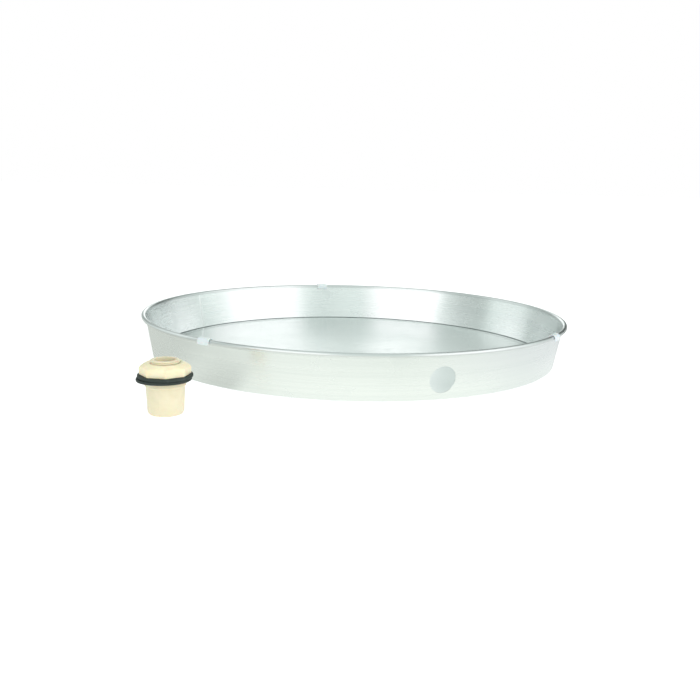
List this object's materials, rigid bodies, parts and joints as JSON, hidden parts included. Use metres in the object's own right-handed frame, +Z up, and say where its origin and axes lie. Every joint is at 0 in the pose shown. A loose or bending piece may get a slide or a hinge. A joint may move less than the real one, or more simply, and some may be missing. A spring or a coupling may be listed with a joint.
{
  "type": "drain pan with drain fitting",
  "caption": "Round shallow sheet-metal drain pan with a rolled rim, push-on rim clips, a side drain hole and a loose threaded drain fitting with lock nut and gaskets.",
  "frame": {"origin": "centre of the pan's underside, on the surface it stands on", "axes": "+Z up along the pan's axis; the drain hole faces -Y; +X to the right seen from the drain hole's side"},
  "size_m": [0.6868, 0.65, 0.0655],
  "materials": {
    "wall_metal": "mill finish, faint rolling lines round the wall",
    "floor_metal": "mill finish, faint straight rolling lines",
    "clip_plastic": "semi-matt moulded plastic",
    "fitting_plastic": "semi-gloss moulded cream plastic",
    "nut_plastic": "semi-gloss moulded cream plastic",
    "gasket_rubber": "matt black rubber"
  },
  "bodies": {
    "pan": {"pan_wall": "wall_metal", "pan_floor": "floor_metal"},
    "clip_left": {"rim_clip_left": "clip_plastic"},
    "clip_back": {"rim_clip_back": "clip_plastic"},
    "clip_right": {"rim_clip_right": "clip_plastic"},
    "fitting": {"fitting_body": "fitting_plastic"},
    "lower_washer": {"gasket_lower": "gasket_rubber"},
    "upper_washer": {"gasket_upper": "gasket_rubber"},
    "nut": {"lock_nut": "nut_plastic"}
  },
  "joints": [
    {"name": "clip_left_pull", "type": "slide", "parent": "pan", "child": "clip_left", "axis": [0, 0, 1], "range_m": [0, 0.02]},
    {"name": "clip_back_pull", "type": "slide", "parent": "pan", "child": "clip_back", "axis": [0, 0, 1], "range_m": [0, 0.02]},
    {"name": "clip_right_pull", "type": "slide", "parent": "pan", "child": "clip_right", "axis": [0, 0, 1], "range_m": [0, 0.02]},
    {"name": "fitting_lift", "type": "slide", "parent": "pan", "child": "fitting", "axis": [0, 0, 1], "range_m": [0, 0.12]},
    {"name": "lower_washer_slide", "type": "slide", "parent": "fitting", "child": "lower_washer", "axis": [0, 0, 1], "range_m": [0, 0.0083]},
    {"name": "upper_washer_slide", "type": "slide", "parent": "fitting", "child": "upper_washer", "axis": [0, 0, 1], "range_m": [0, 0.0166]},
    {"name": "nut_screw", "type": "hinge", "parent": "upper_washer", "child": "nut", "pos_m": [-0.32935, -0.27832, 0.0525], "axis": [0, 0, 1], "range_deg": [0, 2700]}
  ],
  "couplings": [
    {"joint": "upper_washer_slide", "follows": "nut_screw", "m_per_rad": 0.00035152},
    {"joint": "lower_washer_slide", "follows": "nut_screw", "m_per_rad": 0.00017576}
  ]
}
